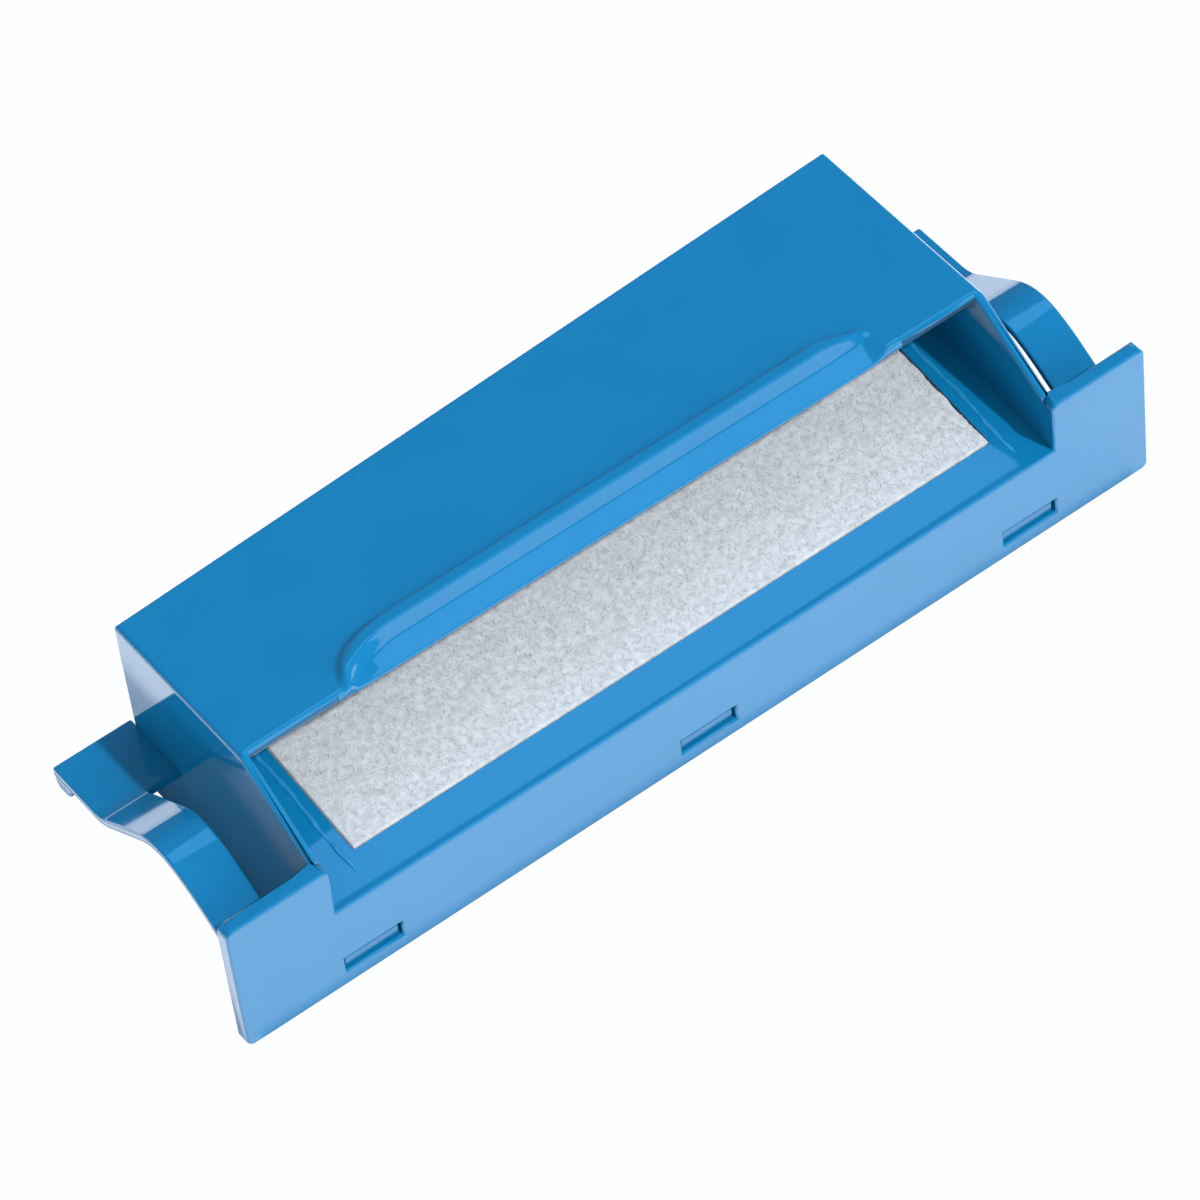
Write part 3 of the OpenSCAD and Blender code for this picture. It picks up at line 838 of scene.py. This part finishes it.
net_material = wadding_material("grey_scrim_thread", (0.30, 0.33, 0.35), 0.25, 0.55, 0.1)
net, net_size, thread_length = net_lines()
with_nodes(net, thread_tree(net_material), Radius=THREAD * MM)
net.data.shade_smooth()
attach(net, "cassette")
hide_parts("backing_net")

# ---------------------------------------------------------------------------------------------
# The pad grid and its three catches: a clip-in frame in a darker blue, with a catch in each latch
# window. The catches spring on thin roots under the grid's front rail.
# ---------------------------------------------------------------------------------------------
GRID_BLUE = (0.003, 0.07, 0.165)
GRID_EDGE = 0.22
CATCH_EDGE = 0.16
grid_plastic = plastic("satin_blue_grid", GRID_BLUE, roughness=0.14, coat=0.0,
                       Clouding=0.1, Grain=0.4, Scratches=0.2, Dust=0.2)
grid = clean_copy("pad_grid", "clip_in_grid")
round_edges(grid, GRID_EDGE, segments=2)
wear(grid, grid_plastic)
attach(grid, "cassette")
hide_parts("pad_grid")

for word in ("left", "middle", "right"):
    catch = clean_copy(word + "_catch", word + "_spring_catch")
    round_edges(catch, CATCH_EDGE, segments=2)
    wear(catch, grid_plastic)
    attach(catch, word + "_finger")
    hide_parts(word + "_catch")

# ---------------------------------------------------------------------------------------------
# The glue beads: a hand-run line of clear hot-melt glue on the panel beside each end of the
# window. It wanders, swells and thins as it was drawn.
# ---------------------------------------------------------------------------------------------
BEAD_HALF = 0.4
BEAD_HEIGHT = 0.26
BEAD_FRONT = 3.6
BEAD_REAR = 39.5
BEAD_SIDES = 10


def bead(middle, name, seed):
    line = []
    count = 90
    for i in range(count + 1):
        y = BEAD_FRONT + (BEAD_REAR - BEAD_FRONT) * i / count
        wander = 0.14 * math.sin(y * 0.36 + seed) + 0.05 * math.sin(y * 1.3 + 2 * seed)
        size = 1 + 0.16 * math.sin(y * 0.9 + 3 * seed) + 0.1 * math.sin(y * 2.3 + seed)
        size *= min(1.0, 0.25 + (y - BEAD_FRONT) / 1.2, 0.25 + (BEAD_REAR - y) / 1.2)
        line.append((middle + wander, y, deck_height(y) - 0.06, size))
    points = []
    for x, y, z, size in line:
        for k in range(BEAD_SIDES):
            a = 2 * math.pi * k / BEAD_SIDES
            points.append((x + BEAD_HALF * size * math.cos(a), y, z + BEAD_HEIGHT * size * math.sin(a)))
    faces = []
    for i in range(count):
        for k in range(BEAD_SIDES):
            n = (k + 1) % BEAD_SIDES
            ring, after = i * BEAD_SIDES, (i + 1) * BEAD_SIDES
            faces.append((ring + k, ring + n, after + n, after + k))
    last = count * BEAD_SIDES
    faces += [tuple(range(BEAD_SIDES)), tuple(range(last + BEAD_SIDES - 1, last - 1, -1))]
    piece = new_piece(name, points, faces)
    outward(piece)
    piece.data.shade_smooth()
    return piece


GLUE_BLUE = (0.008, 0.12, 0.26)
glue_material = plastic("hot_melt_glue", GLUE_BLUE, roughness=0.1, coat=0.3,
                        Clouding=0.2, Grain=0.1, Scratches=0.0, Dust=0.1)
for middle, word, seed in ((-58.7, "left", 0.4), (60.5, "right", 1.9)):
    piece = bead(middle, word + "_bead_of_glue", seed)
    wear(piece, glue_material)
    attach(piece, "cassette")
    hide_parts(word + "_glue_bead")

# ---------------------------------------------------------------------------------------------
# The floor, the light and the camera: a pale table with painted shade under the object, a key lamp
# and a weak low one, a broad panel in front and a blue one above that show in the gloss, and a long lens from
# the front left.
# ---------------------------------------------------------------------------------------------
FLOOR_SIZE = 6.0
FLOOR_WHITE = 0.9
FLOOR_PAINTED_SHADE = 0.14                              # painted shade under the object; seen only in its gloss
PAINTED_SHADE_HALF = (77.5, 26.5)                        # half size of the table's patch of painted shade
PAINTED_SHADE_EDGE = 3.0                                 # and the width of its soft edge


def floor():
    mesh = bpy.data.meshes.new("table_top")
    half = FLOOR_SIZE / 2
    corners = [(-half, -half, 0), (half, -half, 0), (half, half, 0), (-half, half, 0)]
    mesh.from_pydata(corners, [], [(0, 1, 2, 3)])
    piece = bpy.data.objects.new("table_top", mesh)
    bpy.context.scene.collection.objects.link(piece)
    material = bpy.data.materials.new("white_table")
    material.use_nodes = True
    nodes, links = material.node_tree.nodes, material.node_tree.links
    skin = nodes["Principled BSDF"]
    # painted shade: the table's colour is darkened under the object, more than the lamps alone would do
    place = nodes.new("ShaderNodeTexCoord")
    beyond = nodes.new("ShaderNodeVectorMath")
    beyond.operation = "ABSOLUTE"
    links.new(place.outputs["Object"], beyond.inputs[0])
    past = nodes.new("ShaderNodeVectorMath")
    past.operation = "SUBTRACT"
    past.inputs[1].default_value = (PAINTED_SHADE_HALF[0] * MM, PAINTED_SHADE_HALF[1] * MM, 0)
    links.new(beyond.outputs[0], past.inputs[0])
    parts = nodes.new("ShaderNodeSeparateXYZ")
    links.new(past.outputs[0], parts.inputs[0])
    outside = nodes.new("ShaderNodeMath")
    outside.operation = "MAXIMUM"
    links.new(parts.outputs["X"], outside.inputs[0])
    links.new(parts.outputs["Y"], outside.inputs[1])
    table_colour_with_painted_shade = nodes.new("ShaderNodeMapRange")
    table_colour_with_painted_shade.inputs["From Max"].default_value = PAINTED_SHADE_EDGE * MM
    table_colour_with_painted_shade.inputs["To Min"].default_value = FLOOR_PAINTED_SHADE
    table_colour_with_painted_shade.inputs["To Max"].default_value = FLOOR_WHITE
    links.new(outside.outputs[0], table_colour_with_painted_shade.inputs["Value"])
    links.new(table_colour_with_painted_shade.outputs["Result"], skin.inputs["Base Color"])
    skin.inputs["Roughness"].default_value = 0.9
    skin.inputs["Specular IOR Level"].default_value = 0.0
    # the lens sees a plain white table; the plastic mirrors it with its shadows and its painted shade
    seen = nodes.new("ShaderNodeEmission")
    seen.inputs["Color"].default_value = (0.985, 0.99, 1.0, 1)
    path = nodes.new("ShaderNodeLightPath")
    pick = nodes.new("ShaderNodeMixShader")
    links.new(path.outputs["Is Camera Ray"], pick.inputs["Fac"])
    links.new(skin.outputs["BSDF"], pick.inputs[1])
    links.new(seen.outputs["Emission"], pick.inputs[2])
    links.new(pick.outputs["Shader"], nodes["Material Output"].inputs["Surface"])
    mesh.materials.append(material)


def aim(thing, place, target):
    thing.location = place
    thing.rotation_euler = (Vector(target) - Vector(place)).to_track_quat("-Z", "Y").to_euler()


def lamp(name, kind, toward, energy, **settings):
    """A light that shines from a direction onto the object's middle."""
    data = bpy.data.lights.new(name, kind)
    data.energy = energy
    for key, value in settings.items():
        setattr(data, key, value)
    thing = bpy.data.objects.new(name, data)
    bpy.context.scene.collection.objects.link(thing)
    centre = Vector((0, 0, 0.02))
    aim(thing, centre + Vector(toward).normalized() * LAMP_DISTANCE, centre)
    return thing


LAMP_DISTANCE = 1.2
KEY = 4.6
FILL = 1.6
PANEL_POWER = 2.4
SHEEN_POWER = 2.3
ROOM = 1.2                                       # what the room adds to the shadows
ROOM_GLOSS = 0.2                                 # and what shows of it in the gloss
floor()
key = lamp("key_lamp", "SUN", (0.27, -0.71, 1.0), KEY, angle=math.radians(2.5))
fill = lamp("low_fill", "SUN", (0.05, -0.92, 0.38), FILL, angle=math.radians(40))
lamp("front_panel", "AREA", (0.334, -0.79, 0.51), PANEL_POWER, shape="DISK", size=0.8)
lamp("high_panel", "AREA", (0.334, 0.2, 0.92), SHEEN_POWER, shape="DISK", size=0.52,
     color=(0.18, 0.51, 1.0))
for soft in (key, fill):
    soft.visible_glossy = False                  # only the panels show in the gloss

world = bpy.data.worlds.new("dim_room")
bpy.context.scene.world = world
world.use_nodes = True
room_nodes, room_links = world.node_tree.nodes, world.node_tree.links
room = room_nodes["Background"]
room.inputs["Color"].default_value = (0.9, 0.95, 1.0, 1)
room_path = room_nodes.new("ShaderNodeLightPath")
room_light = room_nodes.new("ShaderNodeMapRange")
room_light.inputs["To Min"].default_value = ROOM_GLOSS
room_light.inputs["To Max"].default_value = ROOM
room_links.new(room_path.outputs["Is Diffuse Ray"], room_light.inputs["Value"])
room_links.new(room_light.outputs["Result"], room.inputs["Strength"])

CAMERA_TARGET = (-2.45, -5.88, 16.0)
CAMERA_DISTANCE = 942.7
CAMERA_AZIMUTH = -31.315                         # degrees from straight in front, to the left
CAMERA_ELEVATION = 50.016
CAMERA_ROLL = -7.383
CAMERA_LENS = 195.0


def camera():
    data = bpy.data.cameras.new("camera")
    data.lens = CAMERA_LENS
    data.sensor_width = 36.0
    data.clip_start = 0.05
    data.clip_end = 20.0
    thing = bpy.data.objects.new("camera", data)
    bpy.context.scene.collection.objects.link(thing)
    bpy.context.scene.camera = thing
    turn, lift = math.radians(CAMERA_AZIMUTH), math.radians(CAMERA_ELEVATION)
    toward = Vector((math.sin(turn) * math.cos(lift), -math.cos(turn) * math.cos(lift), math.sin(lift)))
    target = Vector(CAMERA_TARGET) * MM
    aim(thing, target + toward * CAMERA_DISTANCE * MM, target)
    level = thing.rotation_euler.to_matrix()
    thing.rotation_euler = (level @ Matrix.Rotation(math.radians(CAMERA_ROLL), 3, "Z")).to_euler()


camera()
bpy.context.scene.view_settings.view_transform = "Standard"
